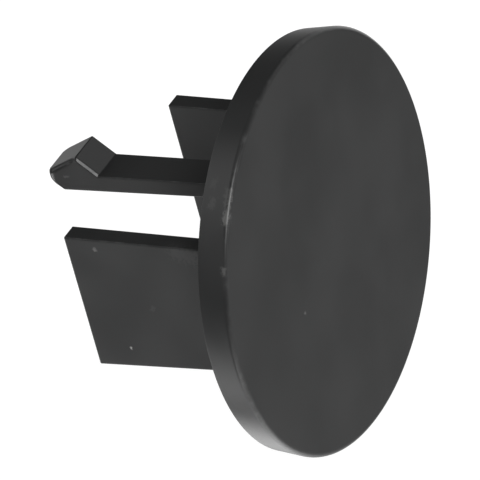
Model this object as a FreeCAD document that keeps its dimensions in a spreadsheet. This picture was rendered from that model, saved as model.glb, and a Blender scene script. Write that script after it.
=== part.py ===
import FreeCAD, Part
import os
import Sketcher

# A snap-in plug that closes a rectangular hole in a panel, moulded in one piece.
# The frame is that of the fitted plug: the head's flat seat lies against the panel in the plane Y = 0,
# the visible front face looks towards -Y, and the legs point along +Y into the panel.
# Two wide locating blades stand at the ends of the hole, on -X and +X.
# Two barbed snap hooks stand between them, on -Z and +Z.
# The origin is the middle of the seat. All lengths are in millimetres and all angles in degrees.

SIZES = [
    ("head_diameter", 25.0, "across the front face, before its edge is rounded"),
    ("head_thickness", 1.95, "from the front face to the seat"),
    ("rim_draft", 7.0, "angle by which the rim narrows towards the seat"),
    ("front_edge_radius", 0.25, "rounding between the front face and the rim"),
    ("hole_length", 15.0, "long side of the rectangular hole"),
    ("hole_width", 9.0, "short side of the rectangular hole"),
    ("panel_thickness", 12.0, "panel that the hooks grip"),
    ("blade_clearance", 0.05, "from a blade's outer face to the end of the hole"),
    ("blade_side_clearance", 0.03, "from a blade's free corners to the sides of the hole"),
    ("blade_length", 10.9, "from the seat to the blades' free ends"),
    ("blade_thickness", 1.15, "wall of a blade"),
    ("blade_flare", 1.4, "angle by which each side of a blade widens towards its free end"),
    ("hook_clearance", 0.09, "from a hook's arm to the side of the hole"),
    ("arm_width", 2.4, "width of a hook along the hole"),
    ("arm_root_thickness", 0.92, "springing thickness of a hook's arm at the seat"),
    ("arm_end_thickness", 1.13, "thickness of the arm at its free end, under the barb"),
    ("barb_height", 1.18, "how far a barb stands out from its arm"),
    ("barb_peak_radius", 0.25, "rounding of the barb's peak"),
    ("catch_angle", 42.5, "slope of the face that grips the panel"),
    ("catch_preload", 0.09, "how far the fitted panel holds a hook inwards"),
    ("lead_in_length", 2.22, "length of the ramp that lets a barb slide into the hole"),
    ("tip_height", 0.04, "height of the blunt tip above the arm's outer face"),
    ("tip_thickness", 0.38, "height of the blunt tip itself"),
    ("tip_corner_radius", 0.5, "rounding of the blunt tip's two corners"),
    ("end_slant", 49.8, "slope of a hook's end face below its tip"),
    ("leg_edge_radius", 0.12, "rounding of the hooks' edges and of the blades' free ends"),
    ("root_radius", 0.3, "fillet where a leg grows out of the seat"),
]

# Places that the outlines share, worked out from the sizes.
HEAD_RADIUS = "sizes.head_diameter / 2"
SEAT_RADIUS = HEAD_RADIUS + " - sizes.head_thickness * tan(sizes.rim_draft)"
BLADE_FACE = "sizes.hole_length / 2 - sizes.blade_clearance"
BLADE_HALF_END = "sizes.hole_width / 2 - sizes.blade_side_clearance"
BLADE_HALF_ROOT = BLADE_HALF_END + " - sizes.blade_length * tan(sizes.blade_flare)"
ARM_OUTSIDE = "sizes.hole_width / 2 - sizes.hook_clearance"
ARM_ROOT_INSIDE = ARM_OUTSIDE + " - sizes.arm_root_thickness"
ARM_END_INSIDE = ARM_OUTSIDE + " - sizes.arm_end_thickness"
BARB_TOP = ARM_OUTSIDE + " + sizes.barb_height"
TIP_TOP = ARM_OUTSIDE + " + sizes.tip_height"
TIP_BOTTOM = TIP_TOP + " - sizes.tip_thickness"
CATCH_FOOT = "sizes.panel_thickness - (sizes.hook_clearance + sizes.catch_preload) / tan(sizes.catch_angle)"
BARB_PEAK = CATCH_FOOT + " + sizes.barb_height / tan(sizes.catch_angle)"
HOOK_TIP = BARB_PEAK + " + sizes.lead_in_length"
END_DROP = "sizes.arm_end_thickness + sizes.tip_height - sizes.tip_thickness"
ARM_END = f"{HOOK_TIP} - ({END_DROP}) * tan(sizes.end_slant)"
ON_AXIS = "0"

# How closely an edge has to lie on a plane to be counted as part of it.
TOUCH = 1e-5

# The least angle between two faces, in radians, that makes a sharp edge.
SHARP = 0.01


def make_sheet(doc):
    """Puts every driving size into a named cell, with a note beside it."""
    sheet = doc.addObject("Spreadsheet::Sheet", "sizes")
    for row, (alias, value, note) in enumerate(SIZES, start=1):
        sheet.set(f"A{row}", alias)
        sheet.set(f"B{row}", str(value))
        sheet.set(f"C{row}", note)
        sheet.setAlias(f"B{row}", alias)
    doc.recompute()


def origin_feature(body, role):
    """Finds one of the body's own base planes or axes."""
    return next(item for item in body.Origin.OriginFeatures if item.Role == role)


def place_corner(sketch, line, axis, text):
    """Ties one coordinate of a line's start point, 0 across or 1 up, to the sheet."""
    if text == ON_AXIS:
        sketch.addConstraint(Sketcher.Constraint("PointOnObject", line, 1, (-2, -1)[axis]))
        return
    start = sketch.Geometry[line].StartPoint
    kind = ("DistanceX", "DistanceY")[axis]
    index = sketch.addConstraint(Sketcher.Constraint(kind, -1, 1, line, 1, start[axis]))
    sketch.setExpression(f"Constraints[{index}]", text)


def draw_outline(body, name, plane_role, corners):
    """Draws a closed outline on a base plane, through corners given as (across, up) expressions."""
    sketch = body.newObject("Sketcher::SketchObject", name)
    sketch.AttachmentSupport = (origin_feature(body, plane_role), [""])
    sketch.MapMode = "FlatFace"
    places = [[float(sketch.evalExpression(text)) for text in corner] for corner in corners]
    points = [FreeCAD.Vector(*place, 0) for place in places]
    for index, point in enumerate(points):
        sketch.addGeometry(Part.LineSegment(point, points[(index + 1) % len(points)]), False)
    for index, (across, up) in enumerate(corners):
        sketch.addConstraint(Sketcher.Constraint("Coincident", index, 2, (index + 1) % len(corners), 1))
        place_corner(sketch, index, 0, across)
        place_corner(sketch, index, 1, up)
    return sketch


def mirror(body, name, feature, plane_role):
    """Repeats a leg on the other side of a base plane."""
    copy = body.newObject("PartDesign::Mirrored", name)
    copy.Originals = [feature]
    copy.MirrorPlane = (origin_feature(body, plane_role), [""])
    body.Tip = copy


def round_edges(body, name, radius, test):
    """Rounds every edge of the body so far that passes the test."""
    base = body.Tip
    edges = [f"Edge{number}" for number, edge in enumerate(base.Shape.Edges, start=1) if test(edge)]
    fillet = body.newObject("PartDesign::Fillet", name)
    fillet.Base = (base, edges)
    fillet.setExpression("Radius", radius)
    body.Document.recompute()


def lies_at(edge, height):
    """True for an edge that lies wholly in the plane Y = height."""
    return max(abs(edge.BoundBox.YMin - height), abs(edge.BoundBox.YMax - height)) < TOUCH


def is_sharp(edge, shape):
    """True for an edge whose two faces meet at an angle."""
    middle = edge.valueAt((edge.FirstParameter + edge.LastParameter) / 2)
    faces = shape.ancestorsOfType(edge, Part.Face)
    first, second = (face.normalAt(*face.Surface.parameter(middle)) for face in faces)
    return first.getAngle(second) > SHARP


def is_at_root(edge):
    """True for an edge where a leg meets the seat, which leaves out the closed ring of the rim."""
    return lies_at(edge, 0) and not edge.isClosed()


def is_on_hook(edge, arm_width):
    """True for an edge behind the seat that lies on one of the hooks."""
    reach = max(abs(edge.BoundBox.XMin), abs(edge.BoundBox.XMax))
    return edge.BoundBox.YMax > TOUCH and reach < arm_width / 2 + TOUCH


def is_upright(edge):
    """True for an edge that runs straight along Z."""
    return max(edge.BoundBox.XLength, edge.BoundBox.YLength) < TOUCH


def make_head(body):
    """Turns the disc: a flat front face, a rim that narrows to the back and a flat seat."""
    profile = draw_outline(body, "head_profile", "XY_Plane", [
        (ON_AXIS, "-sizes.head_thickness"),
        (HEAD_RADIUS, "-sizes.head_thickness"),
        (SEAT_RADIUS, ON_AXIS),
        (ON_AXIS, ON_AXIS),
    ])
    head = body.newObject("PartDesign::Revolution", "head")
    head.Profile = profile
    head.ReferenceAxis = (profile, ["V_Axis"])
    head.Angle = 360
    body.Document.recompute()
    front = -body.Document.sizes.head_thickness
    round_edges(body, "front_edge", "sizes.front_edge_radius", lambda edge: lies_at(edge, front))


def make_blade(body):
    """Pads one flat blade that widens a little towards its square free end."""
    outline = draw_outline(body, "blade_outline", "YZ_Plane", [
        (ON_AXIS, f"-({BLADE_HALF_ROOT})"),
        ("sizes.blade_length", f"-({BLADE_HALF_END})"),
        ("sizes.blade_length", BLADE_HALF_END),
        (ON_AXIS, BLADE_HALF_ROOT),
    ])
    outline.setExpression("AttachmentOffset.Base.z", BLADE_FACE)
    blade = body.newObject("PartDesign::Pad", "blade")
    blade.Profile = outline
    blade.Reversed = True
    blade.setExpression("Length", "sizes.blade_thickness")
    return blade


def make_hook(body):
    """Pads one springing arm with its barb: catch slope, peak, lead-in ramp, blunt tip and slanted end."""
    outline = draw_outline(body, "hook_outline", "YZ_Plane", [
        (ON_AXIS, ARM_ROOT_INSIDE),
        (ARM_END, ARM_END_INSIDE),
        (HOOK_TIP, TIP_BOTTOM),
        (HOOK_TIP, TIP_TOP),
        (BARB_PEAK, BARB_TOP),
        (CATCH_FOOT, ARM_OUTSIDE),
        (ON_AXIS, ARM_OUTSIDE),
    ])
    hook = body.newObject("PartDesign::Pad", "hook")
    hook.Profile = outline
    hook.SideType = "Symmetric"
    hook.setExpression("Length", "sizes.arm_width")
    return hook


def check(doc, body):
    """Stops before anything is written if a feature failed or the plug isn't one sound solid."""
    failed = [item.Name for item in doc.Objects if {"Invalid", "Error"} & set(item.State)]
    if failed:
        raise RuntimeError(f"features that failed: {failed}")
    shape = body.Shape
    if shape.isNull() or not shape.isValid() or len(shape.Solids) != 1:
        raise RuntimeError(f"{body.Label} is not one sound solid")


def main():
    """Builds the plug, checks it and writes it out."""
    doc = FreeCAD.newDocument("hole_plug")
    make_sheet(doc)
    body = doc.addObject("PartDesign::Body", "hole_plug")
    body.Label = "hole_plug"
    body.Placement = FreeCAD.Placement()

    make_head(body)
    mirror(body, "far_blade", make_blade(body), "YZ_Plane")
    mirror(body, "far_hook", make_hook(body), "XY_Plane")
    doc.recompute()
    sizes = doc.sizes
    peak, tip = (float(body.evalExpression(place)) for place in (BARB_PEAK, HOOK_TIP))
    round_edges(body, "barb_peaks", "sizes.barb_peak_radius", lambda edge: lies_at(edge, peak))
    round_edges(body, "tip_corners", "sizes.tip_corner_radius",
                lambda edge: lies_at(edge, tip) and is_upright(edge))
    round_edges(body, "blade_ends", "sizes.leg_edge_radius", lambda edge: lies_at(edge, sizes.blade_length))
    shape = body.Tip.Shape
    round_edges(body, "hook_edges", "sizes.leg_edge_radius",
                lambda edge: is_on_hook(edge, sizes.arm_width) and is_sharp(edge, shape))
    round_edges(body, "root_fillets", "sizes.root_radius", is_at_root)

    check(doc, body)
    os.makedirs("parts", exist_ok=True)
    body.Shape.exportStep(f"parts/{body.Label}.step")
    box = body.Shape.optimalBoundingBox()
    extent = f"{box.XLength:.2f} x {box.YLength:.2f} x {box.ZLength:.2f} mm"
    print(f"{body.Label}: {extent}, {body.Shape.Volume:.1f} mm3")


main()
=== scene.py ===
"""A black snap-in hole plug, moulded in one piece, in plain soft studio light.

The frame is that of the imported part: the head's seat lies in the plane Y = 0, its front face looks
towards -Y, and the two locating blades and the two snap hooks point along +Y.
Lengths below are in millimetres, and are turned into metres where they are used.
"""

import math

import bpy
import numpy as np
from mathutils import Matrix, Vector
from mathutils.geometry import delaunay_2d_cdt


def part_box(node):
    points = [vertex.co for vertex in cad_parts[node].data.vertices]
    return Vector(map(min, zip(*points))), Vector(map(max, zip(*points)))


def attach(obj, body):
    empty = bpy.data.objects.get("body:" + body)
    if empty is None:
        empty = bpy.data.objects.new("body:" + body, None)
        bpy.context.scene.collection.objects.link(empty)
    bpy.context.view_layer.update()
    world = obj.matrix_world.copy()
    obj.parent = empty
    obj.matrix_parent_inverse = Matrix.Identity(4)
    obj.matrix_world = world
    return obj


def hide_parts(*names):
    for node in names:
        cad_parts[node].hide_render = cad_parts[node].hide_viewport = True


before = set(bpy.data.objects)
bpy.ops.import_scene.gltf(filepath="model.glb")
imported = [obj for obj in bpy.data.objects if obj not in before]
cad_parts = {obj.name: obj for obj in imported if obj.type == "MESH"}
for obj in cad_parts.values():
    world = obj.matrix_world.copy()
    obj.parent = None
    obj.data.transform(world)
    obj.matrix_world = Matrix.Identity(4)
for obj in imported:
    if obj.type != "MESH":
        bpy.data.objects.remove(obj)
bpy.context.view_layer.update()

NODE = "hole_plug"
MM = 0.001

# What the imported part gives: how far it reaches to each side, to the front and to the back.
low, high = (np.array(corner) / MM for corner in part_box(NODE))
HEAD_REACH = min(high[0], -low[0], high[2], -low[2])
FRONT = low[1]
HOOK_TIP = high[1]

# The head's rim and edges.
RIM_DRAFT = math.radians(7.0)
FRONT_EDGE = 0.25
SEAT_EDGE = 0.03

# The two blades at the ends of the hole.
BLADE_OUTER = 7.45
BLADE_INNER = 6.30
BLADE_LENGTH = 10.9
BLADE_HALF_END = 4.47
BLADE_FLARE = math.radians(1.4)
BLADE_EDGE = 0.09

# The two hooks between them.
ARM_HALF_WIDTH = 1.2
ARM_OUTSIDE = 4.41
ARM_ROOT_INSIDE = ARM_OUTSIDE - 0.92
ARM_END_INSIDE = ARM_OUTSIDE - 1.13
BARB_TOP = ARM_OUTSIDE + 1.18
TIP_TOP = ARM_OUTSIDE + 0.04
TIP_BOTTOM = TIP_TOP - 0.38
CATCH_ANGLE = math.radians(42.5)
LEAD_IN = 2.22
END_SLANT = math.radians(49.8)
PEAK_RADIUS = 0.08
TIP_CORNER = 0.5
BLEND_RADIUS = 0.12
HOOK_EDGE = 0.08
CATCH_EDGE = 0.16
RAMP_EDGE = 0.30

# Roundings that every leg has: the long edges towards +X, the free end and the root.
FAR_EDGE = 0.05
END_EDGE = 0.08
ROOT_FILLET = 0.3

# How far beside a rounding a flat side has its next points, and at most how much of the flat that may take.
LEAD = 0.06
LEAD_SHARE = 0.3

# The smallest rounding of a leg's edge, and the most of the leg's half thickness that one may take.
LEAST_EDGE = 0.01
MOST_ROUND = 0.9

# How finely the round places are divided.
AROUND = 360
ARC_STEPS = 6

# For the seat's triangles: only inside its outline, and how close two points are one, in millimetres.
ONLY_INSIDE = 1
SAME_PLACE = 1e-9

BARB_PEAK = HOOK_TIP - LEAD_IN
CATCH_FOOT = BARB_PEAK - (BARB_TOP - ARM_OUTSIDE) / math.tan(CATCH_ANGLE)
ARM_END = HOOK_TIP - (TIP_BOTTOM - ARM_END_INSIDE) * math.tan(END_SLANT)

# The photograph's view: where the camera looks, from how far, at which angles, with which lens and sensor.
VIEW_POINT = (0.666, 4.653, -0.811)
VIEW_DISTANCE = 420.744
VIEW_AZIMUTH = math.radians(55.611)
VIEW_ELEVATION = math.radians(31.307)
VIEW_ROLL = math.radians(15.514)
LENS = 542.52
SENSOR_WIDTH = 36.0

# The plastic's finish: linear colours, roughness from its glossier to its duller clouds, what rubbing adds
# to that, the grain's height, how many clouds there are in a millimetre, and between which noise values a
# cloud and a rubbed patch come in.
PLASTIC_DARK = (0.0140, 0.0145, 0.0146)
PLASTIC_LIGHT = (0.0215, 0.0220, 0.0221)
RUBBED = (0.045, 0.046, 0.046)
# Dust specks take this colour, and so do the painted highlight along the head's front edge and the painted
# light patch on a blade.
DUST_AND_PAINTED_LIGHT = (0.45, 0.45, 0.44)
ROUGHNESS = (0.34, 0.40)
RUB_ROUGHNESS = 0.06
GRAIN_HEIGHT = 0.0035
CLOUDS_PER_MM = 0.18
CLOUD_RANGE = (0.3, 0.7)
PATCH_RANGE = (0.48, 0.66)

# A mark's raggedness: how many ragged places there are in a millimetre, between which noise values and
# shares of its size the reach goes, and up to which share of its reach a mark is full.
RAGGED_PER_MM = 6
RAGGED_RANGE = (0.3, 0.7)
RAGGED_REACH = (0.3, 1.5)
MARK_FULL = 0.2

# Small marks that the photograph shows, some of them painted light: the line each lies along in millimetres,
# its size and its strength.
MARKS_AND_PAINTED_LIGHT = [
    ((-4.57, -1.95, -1.84), (-4.57, -1.95, -1.84), 0.18, 0.18),
    ((-7.45, 9.04, 3.78), (-7.45, 9.00, 3.70), 0.16, 0.26),
    ((-7.45, 8.44, -3.12), (-7.45, 8.44, -3.12), 0.12, 0.80),
    ((-7.45, 6.32, -0.23), (-7.45, 6.18, -0.10), 0.22, 0.05),
    # Painted light: a wide faint pale patch on the -X blade's outer face near its root, standing in for
    # light falling there.
    ((-7.45, 3.60, 3.95), (-7.45, 2.70, 3.70), 0.90, 0.035),
    ((-1.20, 14.12, 4.22), (-1.20, 13.86, 4.27), 0.13, 0.10),
    # Along the head's front edge: scuffs, painted partly as the edge's highlight, as pale beads where that
    # highlight lies.
    ((-8.32, -1.82, 9.24), (-8.62, -1.80, 8.96), 0.20, 0.15),
    ((-8.62, -1.82, 8.96), (-8.92, -1.80, 8.66), 0.22, 0.17),
    ((-8.92, -1.82, 8.66), (-9.22, -1.80, 8.34), 0.20, 0.15),
    ((-8.40, -1.66, 9.16), (-9.14, -1.66, 8.43), 0.34, 0.06),
    ((-9.30, -1.76, 8.26), (-9.62, -1.74, 7.92), 0.34, 0.22),
    ((-11.08, -1.74, 5.70), (-11.18, -1.80, 5.50), 0.26, 0.13),
    ((-7.90, -0.62, 9.46), (-8.06, -0.56, 9.33), 0.34, 0.03),
    ((-8.72, -0.72, 8.72), (-8.92, -0.64, 8.52), 0.36, 0.045),
]

# The white floor: its reach to each side, its gap below the head, its own light and the share it reflects.
FLOOR_REACH = 3000.0
FLOOR_GAP = 0.01
FLOOR_GLOW = 0.97
FLOOR_GREY = 0.2

# The key light: its direction from the plug, its distance, its width and its radiance.
KEY_TOWARDS = (-0.475, -0.6, 0.643)
KEY_DISTANCE = 600.0
KEY_SIZE = 160.0
KEY_STRENGTH = 22.0

# The room round the plug: the light from all round, and soft areas of light as (direction, full within,
# gone beyond, strength), with angles in degrees.
ROOM_DIM = 0.10
ROOM_GLOWS = [
    ((0.12, -0.26, -0.96), 38, 50, 0.35),
    ((0.32, -0.13, -0.94), 30, 42, 0.19),
    ((0.30, -0.93, -0.22), 20, 32, 0.53),
    ((0.68, 0.42, -0.60), 16, 28, 0.52),
    ((0.99, 0.10, -0.14), 13, 25, 1.18),
    ((0.95, -0.28, -0.11), 9, 26, 0.62),
    ((0.82, 0.51, -0.25), 11, 23, 0.26),
    ((-0.23, 0.82, 0.52), 5, 27, 1.47),
    ((0.16, -0.37, -0.91), 9, 21, 1.99),
    ((0.04, -0.98, 0.21), 8, 20, 1.45),
    ((-0.45, -0.65, -0.61), 6, 22, 2.2),
    ((0.02, 0.23, -0.97), 8, 20, 3.09),
    ((-0.52, 0.33, -0.79), 7, 19, 1.98),
    ((-0.03, -0.13, -0.99), 5, 19, 2.97),
    ((-0.25, 0.13, 0.96), 4, 16, 0.96),
    ((0.61, 0.75, -0.26), 4, 16, 0.8),
    ((0.25, 0.59, -0.76), 4, 16, 2.43),
    ((-0.83, 0.41, 0.37), 4, 16, 1.16),
    ((-0.78, -0.13, -0.61), 4, 16, 5.75),
    ((-0.29, 0.78, -0.56), 4, 16, 4.61),
    ((0.70, -0.50, 0.52), 4, 16, 1.29),
]


def quarter():
    """Angles that divide a quarter turn evenly."""
    return np.linspace(0, math.pi / 2, ARC_STEPS + 1)


def round_in(depth, radius):
    """How far a rounded edge stands back at a depth from where it ends: r - sqrt(r^2 - (r - depth)^2)."""
    rest = np.clip(radius - depth, 0, radius)
    return radius - np.sqrt(radius**2 - rest**2)


def soften(corners, *radii):
    """Replaces each inner corner of a path by an arc of its own radius that touches both of its runs.

    The arc starts r tan(turn / 2) before the corner. Its points are the tangent point plus r sin(a) along
    the first run and r (1 - cos(a)) square to it, for a from nothing to the whole turn. A point on each run
    beside the arc keeps the shading of the flats even.
    """
    corners = np.array(corners, float)
    runs = np.diff(corners, axis=0)
    runs /= np.linalg.norm(runs, axis=1)[:, None]
    path = [corners[:1]]
    for corner, before, after, radius in zip(corners[1:-1], runs[:-1], runs[1:], radii):
        turn = math.atan2(before[0] * after[1] - before[1] * after[0], before @ after)
        side = np.array([-before[1], before[0]]) * np.sign(turn)
        start = corner - before * radius * math.tan(abs(turn) / 2)
        angle = np.linspace(0, abs(turn), ARC_STEPS + 1)[:, None]
        arc = start + radius * (np.sin(angle) * before + (1 - np.cos(angle)) * side)
        path.extend([arc[:1] - before * LEAD, arc, arc[-1:] + after * LEAD])
    path.append(corners[-1:])
    return np.concatenate(path)


def turned_head():
    """The head as rows of rings: x = r cos(a), z = r sin(a), with r and y from its profile.

    The profile runs from the flat front face round its edge, down the drafted rim and round the seat's edge.
    Both roundings are arcs that touch the flat they start from and the rim, with a point on each flat
    beside them.
    """
    down_rim = LEAD * np.array([-math.sin(RIM_DRAFT), math.cos(RIM_DRAFT)])
    inwards = LEAD * np.array([-1, 0])
    lean = quarter() * (1 + RIM_DRAFT / (math.pi / 2))
    centre = np.array([HEAD_REACH - FRONT_EDGE, FRONT + FRONT_EDGE])
    front = centre + FRONT_EDGE * np.stack([np.sin(lean), -np.cos(lean)], axis=1)
    tuck = quarter() * (1 - RIM_DRAFT / (math.pi / 2)) + RIM_DRAFT
    rim_r, rim_y = front[-1]
    centre = np.array([
        rim_r + (rim_y + SEAT_EDGE) * math.tan(RIM_DRAFT) - SEAT_EDGE / math.cos(RIM_DRAFT), -SEAT_EDGE,
    ])
    seat = centre + SEAT_EDGE * np.stack([np.cos(tuck), np.sin(tuck)], axis=1)
    r, y = np.concatenate([
        front[:1] + inwards, front, front[-1:] + down_rim, seat[:1] - down_rim, seat, seat[-1:] + inwards,
    ]).T[..., None]
    angle = np.linspace(0, 2 * math.pi, AROUND, endpoint=False)
    rings = np.stack(np.broadcast_arrays(r * np.cos(angle), y, r * np.sin(angle)), axis=-1)
    edge = np.tile(np.concatenate([[0], np.sin(2 * quarter()), [0]]), 2)
    return rings, np.repeat(edge[:, None], AROUND, axis=1)


def leg(y, x_low, x_high, z_low, z_high, length, edges, flats=(0, 0, 0, 0)):
    """A leg as rows of rounded rectangles across Y, one for each value of y.

    Every side grows by the root fillet near the seat and shrinks by the end's rounding near the free end.
    A corner's points are its centre plus the corner radius times (cos, sin) of a quarter turn, moved towards
    the straight line between the quarter's ends by the share that is flat. One more point before and after
    them lies on the flat side, and one more row on the seat and on the free end, to keep the shading even.
    """
    y, x_low, x_high, z_low, z_high, *rest = (
        np.pad(np.broadcast_to(value, y.shape), 1, mode="edge")[:, None]
        for value in (y, x_low, x_high, z_low, z_high, *edges, *flats)
    )
    edges, flats = rest[:4], rest[4:]
    grow = round_in(y, ROOT_FILLET) - round_in(length - y, END_EDGE)
    grow[0] += LEAD
    grow[-1] -= LEAD
    x_low, x_high, z_low, z_high = x_low - grow, x_high + grow, z_low - grow, z_high + grow
    narrowest = np.minimum(x_high - x_low, z_high - z_low) / 2
    radii = [np.clip(edge + grow, LEAST_EDGE, MOST_ROUND * narrowest) for edge in edges]
    lead = np.minimum(LEAD, LEAD_SHARE * (narrowest - np.max(radii, axis=0)))
    share = quarter() / (math.pi / 2)
    x, z = [], []
    for number, (at_x, at_z) in enumerate([(1, 1), (0, 1), (0, 0), (1, 0)]):
        radius, flat = radii[number], flats[number]
        across = radius * ((1 - flat) * np.cos(quarter()) + flat * (1 - share))
        up = radius * ((1 - flat) * np.sin(quarter()) + flat * share)
        across = np.concatenate([radius, across, -lead], axis=1)
        up = np.concatenate([-lead, up, radius], axis=1)
        cos, sin = [(1, 0), (0, 1), (-1, 0), (0, -1)][number]
        x.append((x_high - radius if at_x else x_low + radius) + across * cos - up * sin)
        z.append((z_high - radius if at_z else z_low + radius) + across * sin + up * cos)
    x, z = np.concatenate(x, axis=1), np.concatenate(z, axis=1)
    rows = np.stack(np.broadcast_arrays(x, y, z), axis=-1)
    round_corner = np.tile(np.concatenate([[0], np.sin(2 * quarter()), [0]]), 4)
    in_end = np.clip((length - y) / END_EDGE, 0, 1)
    round_end = np.where(in_end < 1, np.sin(math.pi * in_end), 0)
    past_root = np.clip(y / ROOT_FILLET - 1, 0, 1)
    return rows, np.maximum(round_corner * past_root, round_end)


def leg_rows(length, *between):
    """Places along a leg: close together in the root fillet and the rounded end, and any given between."""
    root = ROOT_FILLET * (1 - np.cos(quarter()))
    end = length - END_EDGE * (1 - np.cos(quarter()))
    beside = [ROOT_FILLET + LEAD, 2 * ROOT_FILLET, length - END_EDGE - LEAD]
    return np.unique(np.round(np.concatenate([root, beside, *between, end]), 6))


def blade(side):
    """One locating blade, at -X or +X: flat, and wider towards its free end by the tangent of its flare."""
    y = leg_rows(BLADE_LENGTH)
    half = BLADE_HALF_END - (BLADE_LENGTH - y) * math.tan(BLADE_FLARE)
    x_low, x_high = sorted((side * BLADE_INNER, side * BLADE_OUTER))
    edges = (FAR_EDGE, BLADE_EDGE, BLADE_EDGE, FAR_EDGE)
    return leg(y, x_low, x_high, -half, half, BLADE_LENGTH, edges)


def swap_corners(values):
    """The values of a leg's four corners as they are in the leg's mirror image across Z = 0."""
    return [values[corner] for corner in (3, 2, 1, 0)]


def hook(side):
    """One snap hook, at -Z or +Z: arm, catch slope, rounded peak, lead-in ramp, blunt tip and slanted end.

    Its half width is the arm's, less the rounding of the tip's two corners. Along the catch, the outer edge
    towards -X is a narrow flat, and along the ramp it is rounded more. Both come in over a short way, and
    the flat has one more row just inside each of its ends, to keep its shading even.
    """
    outer = soften([
        (0, ARM_OUTSIDE), (CATCH_FOOT, ARM_OUTSIDE), (BARB_PEAK, BARB_TOP), (HOOK_TIP, TIP_TOP),
    ], BLEND_RADIUS, PEAK_RADIUS)
    inner = soften([(0, ARM_ROOT_INSIDE), (ARM_END, ARM_END_INSIDE), (HOOK_TIP, TIP_BOTTOM)], BLEND_RADIUS)
    tip = HOOK_TIP - np.append(TIP_CORNER * (1 - np.cos(quarter())), TIP_CORNER + LEAD)
    foot, peak = CATCH_FOOT + LEAD, BARB_PEAK - LEAD
    beside, inside = 1.5 * LEAD, 0.5 * LEAD
    catch = [foot - beside, foot, foot + inside, peak - inside, peak, peak + beside]
    ramp = [BARB_PEAK + LEAD, BARB_PEAK + 5 * LEAD]
    y = leg_rows(HOOK_TIP, outer[1:-1, 0], inner[1:-1, 0], tip, catch, ramp)
    top, bottom = np.interp(y, *outer.T), np.interp(y, *inner.T)
    half = ARM_HALF_WIDTH - round_in(HOOK_TIP - y, TIP_CORNER)
    flat = np.interp(y, catch, [0, 1, 1, 1, 1, 0])
    on_ramp = np.interp(y, ramp, [0, 1])
    near = HOOK_EDGE + flat * (CATCH_EDGE - HOOK_EDGE) + on_ramp * (RAMP_EDGE - HOOK_EDGE)
    edges = [FAR_EDGE, near, HOOK_EDGE, FAR_EDGE]
    flats = [0, flat, 0, 0]
    if side > 0:
        return leg(y, -half, half, bottom, top, HOOK_TIP, edges, flats)
    return leg(y, -half, half, -top, -bottom, HOOK_TIP, swap_corners(edges), swap_corners(flats))


def skin(number):
    """Faces of a grid of point numbers: each joins a point to the next row and the next place in its row."""
    beside = np.roll(number, -1, axis=1)
    return np.stack([number[:-1], number[1:], beside[1:], beside[:-1]], axis=-1).reshape(-1, 4).tolist()


def seat_faces(points, rim, feet):
    """Fills the seat between its outer ring and the legs' feet with triangles that look along +Y.

    The feet are convex, so a triangle whose corners all belong to one foot lies inside it, and is left out.
    """
    loops = [rim, *feet]
    numbers = np.concatenate(loops)
    owner = np.repeat(np.arange(len(loops)), [len(loop) for loop in loops])
    first = np.cumsum([0] + [len(loop) for loop in loops[:-1]])
    sides = [
        (start + place, start + (place + 1) % len(loop))
        for start, loop in zip(first.tolist(), loops) for place in range(len(loop))
    ]
    flat = [Vector(place) for place in points[numbers][:, [0, 2]].tolist()]
    filled = delaunay_2d_cdt(flat, sides, [], ONLY_INSIDE, SAME_PLACE)
    came_from = np.array([sources[0] for sources in filled[3]])
    triangles = came_from[np.array(filled[2])][:, ::-1]
    owners = owner[triangles]
    in_foot = (owners[:, 0] > 0) & (owners == owners[:, :1]).all(axis=1)
    return numbers[triangles[~in_foot]].tolist()


def mould_plug():
    """The whole moulding as one closed mesh: the turned head, its seat, and four legs grown out of it."""
    shapes = [turned_head(), blade(-1), blade(1), hook(-1), hook(1)]
    points = np.concatenate([grid.reshape(-1, 3) for grid, _ in shapes])
    edge = np.concatenate([value.ravel() for _, value in shapes])
    numbers, start = [], 0
    for grid, _ in shapes:
        numbers.append(start + np.arange(grid[..., 0].size).reshape(grid.shape[:2]))
        start += grid[..., 0].size
    faces = [face for number in numbers for face in skin(number)]
    head, *legs = numbers
    faces.append(head[0].tolist())
    faces.extend(number[-1, ::-1].tolist() for number in legs)
    faces.extend(seat_faces(points, head[-1], [number[0] for number in legs]))

    mesh = bpy.data.meshes.new("plug_moulding")
    mesh.from_pydata((points * MM).tolist(), [], faces)
    mesh.attributes.new("edge", "FLOAT", "POINT").data.foreach_set("value", edge.astype(np.float32))
    mesh.shade_smooth()
    mesh.validate()
    piece = bpy.data.objects.new("plug_moulding", mesh)
    bpy.context.scene.collection.objects.link(piece)
    return piece


def node(tree, kind, inputs=None, **options):
    """Adds a shader node with its options, and links or sets each input that is named."""
    made = tree.nodes.new("ShaderNode" + kind)
    for name, value in options.items():
        setattr(made, name, value)
    for name, value in (inputs or {}).items():
        if isinstance(value, bpy.types.NodeSocket):
            tree.links.new(value, made.inputs[name])
        else:
            made.inputs[name].default_value = value
    return made


def calculate(tree, operation, *values):
    """One sum of a shader: an operation on sockets or numbers, giving a socket."""
    return node(tree, "Math", dict(enumerate(values)), operation=operation).outputs[0]


def fade(tree, value, start, end, low=0.0, high=1.0):
    """Turns a value from start to end smoothly into one from low to high."""
    inputs = {"Value": value, "From Min": start, "From Max": end, "To Min": low, "To Max": high}
    return node(tree, "MapRange", inputs, interpolation_type="SMOOTHSTEP").outputs["Result"]


def blend(tree, share, first, second):
    """Mixes two colours by a share, and gives the mix's socket.

    The node takes its share at socket 0 and its colours at 6 and 7, and gives the colour at output 2.
    """
    return node(tree, "Mix", {0: share, 6: first, 7: second}, data_type="RGBA").outputs[2]


def noise(tree, place, per_metre, detail, roughness):
    """Even noise with so many waves in a metre, giving the socket of its value."""
    inputs = {"Vector": place, "Scale": per_metre, "Detail": detail, "Roughness": roughness}
    return node(tree, "TexNoise", inputs).outputs[0]


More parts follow.
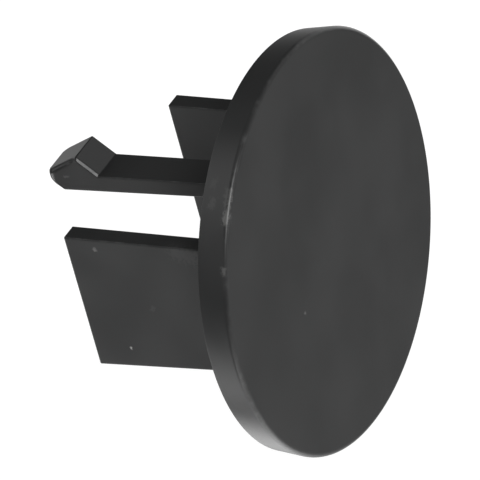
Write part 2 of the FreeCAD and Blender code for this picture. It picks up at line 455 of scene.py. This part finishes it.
def new_group(name, inputs, outputs):
    """Starts a shader node group with named sockets, given as (name, kind, value) and (name, kind)."""
    tree = bpy.data.node_groups.new(name, "ShaderNodeTree")
    for title, kind, value in inputs:
        socket = tree.interface.new_socket(title, in_out="INPUT", socket_type="NodeSocket" + kind)
        socket.default_value = value
    for title, kind in outputs:
        tree.interface.new_socket(title, in_out="OUTPUT", socket_type="NodeSocket" + kind)
    return tree, tree.nodes.new("NodeGroupInput").outputs, tree.nodes.new("NodeGroupOutput").inputs


def moulded_grain():
    """The fine matt grain that a mould leaves, over a slow unevenness of the wall."""
    tree, given, result = new_group(
        "moulded_grain",
        [("Place", "Vector", (0, 0, 0)), ("Grain Size", "Float", 0.12), ("Unevenness", "Float", 0.5)],
        [("Height", "Float"), ("Cloud", "Float")],
    )
    per_metre = calculate(tree, "DIVIDE", 1 / MM, given["Grain Size"])
    fine = noise(tree, given["Place"], per_metre, detail=3.0, roughness=0.6)
    slow = noise(tree, given["Place"], CLOUDS_PER_MM / MM, detail=2.0, roughness=0.5)
    lift = calculate(tree, "MULTIPLY", slow, given["Unevenness"])
    tree.links.new(calculate(tree, "ADD", fine, lift), result["Height"])
    tree.links.new(slow, result["Cloud"])
    return tree


def rubbed_edges():
    """Where handling has rubbed the rounded edges: the edge value broken up by noise."""
    tree, given, result = new_group(
        "rubbed_edges",
        [("Place", "Vector", (0, 0, 0)), ("Edge", "Float", 0.0), ("Patch Size", "Float", 1.0)],
        [("Rub", "Float")],
    )
    per_metre = calculate(tree, "DIVIDE", 1 / MM, given["Patch Size"])
    patches = noise(tree, given["Place"], per_metre, detail=4.0, roughness=0.65)
    broken = fade(tree, patches, *PATCH_RANGE)
    tree.links.new(calculate(tree, "MULTIPLY", broken, given["Edge"]), result["Rub"])
    return tree


def scuff_and_painted_light():
    """A small ragged mark along the line between two points, full in the middle and gone at its reach: a
    speck or scuff, and some spots of painted light.

    The nearest point of the line lies at the share (p - a).(b - a) / |b - a|^2 of the way, held to the line.
    """
    tree, given, result = new_group(
        "scuff_and_painted_light",
        [("Place", "Vector", (0, 0, 0)), ("Start", "Vector", (0, 0, 0)), ("End", "Vector", (0, 0, 0)),
         ("Size", "Float", 0.1)],
        [("Mark", "Float")],
    )
    line = node(tree, "VectorMath", {0: given["End"], 1: given["Start"]}, operation="SUBTRACT").outputs[0]
    out = node(tree, "VectorMath", {0: given["Place"], 1: given["Start"]}, operation="SUBTRACT").outputs[0]
    across = node(tree, "VectorMath", {0: out, 1: line}, operation="DOT_PRODUCT").outputs["Value"]
    whole = node(tree, "VectorMath", {0: line, 1: line}, operation="DOT_PRODUCT").outputs["Value"]
    along = node(tree, "Math", {0: across, 1: whole}, operation="DIVIDE", use_clamp=True).outputs[0]
    nearest = node(tree, "VectorMath", {0: line, "Scale": along}, operation="SCALE").outputs[0]
    apart = node(tree, "VectorMath", {0: out, 1: nearest}, operation="DISTANCE")
    ragged = noise(tree, given["Place"], RAGGED_PER_MM / MM, detail=3.0, roughness=0.7)
    reach = calculate(tree, "MULTIPLY", given["Size"], fade(tree, ragged, *RAGGED_RANGE, *RAGGED_REACH))
    share = calculate(tree, "DIVIDE", apart.outputs["Value"], reach)
    tree.links.new(fade(tree, share, 1.0, MARK_FULL), result["Mark"])
    return tree


def black_plastic():
    """Black moulded plastic: satin, faintly cloudy, with rubbed edges, a few specks and scuffs, a painted
    highlight along the head's front edge and a painted light patch on a blade.
    """
    material = bpy.data.materials.new("black_moulded_plastic")
    material.use_nodes = True
    tree = material.node_tree
    tree.nodes.clear()
    place = node(tree, "TexCoord").outputs["Object"]
    grain = node(tree, "Group", node_tree=bpy.data.node_groups["moulded_grain"])
    tree.links.new(place, grain.inputs["Place"])
    edge = node(tree, "Attribute", attribute_name="edge").outputs["Fac"]
    rub = node(tree, "Group", node_tree=bpy.data.node_groups["rubbed_edges"])
    tree.links.new(place, rub.inputs["Place"])
    tree.links.new(edge, rub.inputs["Edge"])

    # Each mark lightens the colour: dust specks, scuffs, the painted highlight on the front edge and the
    # painted light patch.
    marks_and_painted_light = 0.0
    for start, end, size, strength in MARKS_AND_PAINTED_LIGHT:
        mark = node(tree, "Group", node_tree=bpy.data.node_groups["scuff_and_painted_light"])
        tree.links.new(place, mark.inputs["Place"])
        mark.inputs["Start"].default_value = [length * MM for length in start]
        mark.inputs["End"].default_value = [length * MM for length in end]
        mark.inputs["Size"].default_value = size * MM
        weighed = calculate(tree, "MULTIPLY", mark.outputs["Mark"], strength)
        marks_and_painted_light = calculate(tree, "MAXIMUM", marks_and_painted_light, weighed)

    cloud = fade(tree, grain.outputs["Cloud"], *CLOUD_RANGE)
    colour = blend(tree, cloud, (*PLASTIC_DARK, 1), (*PLASTIC_LIGHT, 1))
    colour = blend(tree, rub.outputs["Rub"], colour, (*RUBBED, 1))
    # Lightens the colour where specks, scuffs, the painted highlight and the painted light patch lie.
    colour = blend(tree, marks_and_painted_light, colour, (*DUST_AND_PAINTED_LIGHT, 1))
    duller = calculate(tree, "MULTIPLY", rub.outputs["Rub"], RUB_ROUGHNESS)
    roughness = calculate(tree, "ADD", fade(tree, grain.outputs["Cloud"], *CLOUD_RANGE, *ROUGHNESS), duller)
    bump = node(tree, "Bump", {
        "Height": grain.outputs["Height"], "Strength": 1.0, "Distance": GRAIN_HEIGHT * MM,
    })
    shader = node(tree, "BsdfPrincipled", {
        "Base Color": colour, "Roughness": roughness, "Normal": bump.outputs["Normal"], "IOR": 1.5,
    })
    out = node(tree, "OutputMaterial", {"Surface": shader.outputs[0]})
    tree.nodes.active = out
    return material


def plain_floor():
    """A wide white floor just under the head, lit evenly, with only a breath of shadow.

    Light from the room passes through it, so the plug is lit from all round as on a light table.
    """
    half = FLOOR_REACH * MM
    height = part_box(NODE)[0].z - FLOOR_GAP * MM
    corners = [(-half, -half, height), (half, -half, height), (half, half, height), (-half, half, height)]
    mesh = bpy.data.meshes.new("studio_floor")
    mesh.from_pydata(corners, [], [(0, 1, 2, 3)])
    floor = bpy.data.objects.new("studio_floor", mesh)
    bpy.context.scene.collection.objects.link(floor)
    material = bpy.data.materials.new("white_floor")
    material.use_nodes = True
    tree = material.node_tree
    tree.nodes.clear()
    glow = node(tree, "Emission", {"Color": (1, 1, 1, 1), "Strength": FLOOR_GLOW})
    paper = node(tree, "BsdfDiffuse", {"Color": (FLOOR_GREY, FLOOR_GREY, FLOOR_GREY, 1)})
    lit = node(tree, "AddShader", {0: glow.outputs[0], 1: paper.outputs[0]})
    clear = node(tree, "BsdfTransparent", {"Color": (1, 1, 1, 1)})
    seen = node(tree, "LightPath").outputs["Is Camera Ray"]
    above = calculate(tree, "SUBTRACT", 1.0, node(tree, "NewGeometry").outputs["Backfacing"])
    shown = calculate(tree, "MULTIPLY", seen, above)
    mix = node(tree, "MixShader", {0: shown, 1: clear.outputs[0], 2: lit.outputs[0]})
    node(tree, "OutputMaterial", {"Surface": mix.outputs[0]})
    mesh.materials.append(material)


def studio_room():
    """The room's light, by direction: dim all round, with a soft glow added for each area of light.

    The camera sees the room as plain white. The mix before the light takes its share at socket 0 and its
    values at 2 and 3.
    """
    world = bpy.data.worlds.new("studio_room")
    bpy.context.scene.world = world
    world.use_nodes = True
    tree = world.node_tree
    tree.nodes.clear()
    direction = node(tree, "TexCoord").outputs["Generated"]
    total = ROOM_DIM
    for towards, full, gone, strength in ROOM_GLOWS:
        unit = Vector(towards).normalized()
        near = node(tree, "VectorMath", {0: direction, 1: unit}, operation="DOT_PRODUCT").outputs["Value"]
        glow = fade(tree, near, math.cos(math.radians(gone)), math.cos(math.radians(full)), 0.0, strength)
        total = calculate(tree, "ADD", total, glow)
    seen = node(tree, "LightPath").outputs["Is Camera Ray"]
    shown = node(tree, "Mix", {0: seen, 2: total, 3: 1.0}, data_type="FLOAT").outputs[0]
    light = node(tree, "Background", {"Color": (1, 1, 1, 1), "Strength": shown})
    node(tree, "OutputWorld", {"Surface": light.outputs[0]})


def key_light():
    """A square soft light that stands off in one direction and faces the plug."""
    light = bpy.data.lights.new("key_light", "AREA")
    light.size = KEY_SIZE * MM
    light.energy = KEY_STRENGTH * math.pi * (KEY_SIZE * MM)**2
    box = bpy.data.objects.new("key_light", light)
    away = Vector(KEY_TOWARDS).normalized()
    box.location = away * KEY_DISTANCE * MM
    box.rotation_euler = away.to_track_quat("Z", "Y").to_euler()
    bpy.context.scene.collection.objects.link(box)


def stand_camera():
    """Stands the camera at the photograph's viewing angle, rolled about its line of sight."""
    level = math.cos(VIEW_ELEVATION)
    ahead = Vector((
        math.sin(VIEW_AZIMUTH) * level, math.cos(VIEW_AZIMUTH) * level, -math.sin(VIEW_ELEVATION),
    ))
    across = ahead.cross(Vector((0, 0, 1))).normalized()
    upright = across.cross(ahead)
    up = upright * math.cos(VIEW_ROLL) + across * math.sin(VIEW_ROLL)
    right = ahead.cross(up)
    data = bpy.data.cameras.new("studio_camera")
    data.lens = LENS
    data.sensor_width = SENSOR_WIDTH
    camera = bpy.data.objects.new("studio_camera", data)
    turn = Matrix((right, up, -ahead)).transposed().to_4x4()
    camera.matrix_world = Matrix.Translation((Vector(VIEW_POINT) - ahead * VIEW_DISTANCE) * MM) @ turn
    bpy.context.scene.collection.objects.link(camera)
    bpy.context.scene.camera = camera


bpy.context.scene.view_settings.view_transform = "Standard"
stand_camera()
studio_room()
plain_floor()
key_light()
moulded_grain()
rubbed_edges()
scuff_and_painted_light()
plug = mould_plug()
plug.data.materials.append(black_plastic())
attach(plug, "root")
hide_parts(NODE)
